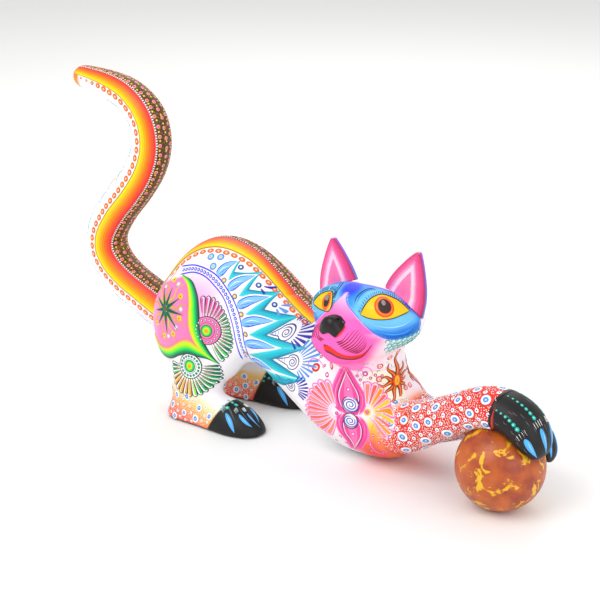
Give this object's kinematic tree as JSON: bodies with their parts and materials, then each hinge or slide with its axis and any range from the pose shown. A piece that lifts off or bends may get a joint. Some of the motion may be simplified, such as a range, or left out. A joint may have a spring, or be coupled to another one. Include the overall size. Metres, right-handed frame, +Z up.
{
  "type": "painted wooden cat figure",
  "caption": "Crouching carved cat, chest low and forelegs out over a ball, head turned to its right, with lift-out ears and an S-shaped tail that turns on its dowel.",
  "frame": {"origin": "on the table plane, under the centre of the bounding box", "axes": "+X from the tail to the ball, +Z up, the cat's right side (where its face looks) towards -Y"},
  "size_m": [0.4081, 0.1008, 0.2289],
  "materials": {
    "torso_paint": "hand-painted acrylic, satin",
    "head_paint": "hand-painted acrylic, satin",
    "ear_paint": "hand-painted acrylic, satin",
    "tail_paint": "hand-painted acrylic, satin",
    "foreleg_paint": "hand-painted acrylic, satin",
    "hind_leg_paint": "hand-painted acrylic, satin",
    "ball_paint": "hand-painted acrylic, satin",
    "bare_wood": "bare copal, sanded"
  },
  "bodies": {
    "figure": {"torso": "torso_paint", "head": "head_paint", "left_foreleg": "foreleg_paint", "right_foreleg": "foreleg_paint", "left_hind_leg": "hind_leg_paint", "right_hind_leg": "hind_leg_paint", "ball": "ball_paint", "neck_dowel": "bare_wood", "right_shoulder_dowel": "bare_wood", "left_shoulder_dowel": "bare_wood", "right_hock_dowel": "bare_wood", "left_hock_dowel": "bare_wood", "ball_dowel": "bare_wood"},
    "right_ear": {"right_ear": "ear_paint"},
    "left_ear": {"left_ear": "ear_paint"},
    "tail_dowel": {"tail_dowel": "bare_wood"},
    "tail": {"tail": "tail_paint"}
  },
  "joints": [
    {"name": "right_ear_pull", "type": "slide", "parent": "figure", "child": "right_ear", "axis": [-0.1736, 0, 0.9848], "range_m": [0, 0.02]},
    {"name": "left_ear_pull", "type": "slide", "parent": "figure", "child": "left_ear", "axis": [0.2924, 0, 0.9563], "range_m": [0, 0.02]},
    {"name": "tail_pull", "type": "slide", "parent": "figure", "child": "tail_dowel", "axis": [-0.9205, 0, 0.3907], "range_m": [0, 0.03]},
    {"name": "tail_turn", "type": "hinge", "parent": "tail_dowel", "child": "tail", "pos_m": [-0.114, 0.0045, 0.0545], "axis": [-0.9205, 0, 0.3907], "range_deg": [-90, 90]}
  ]
}
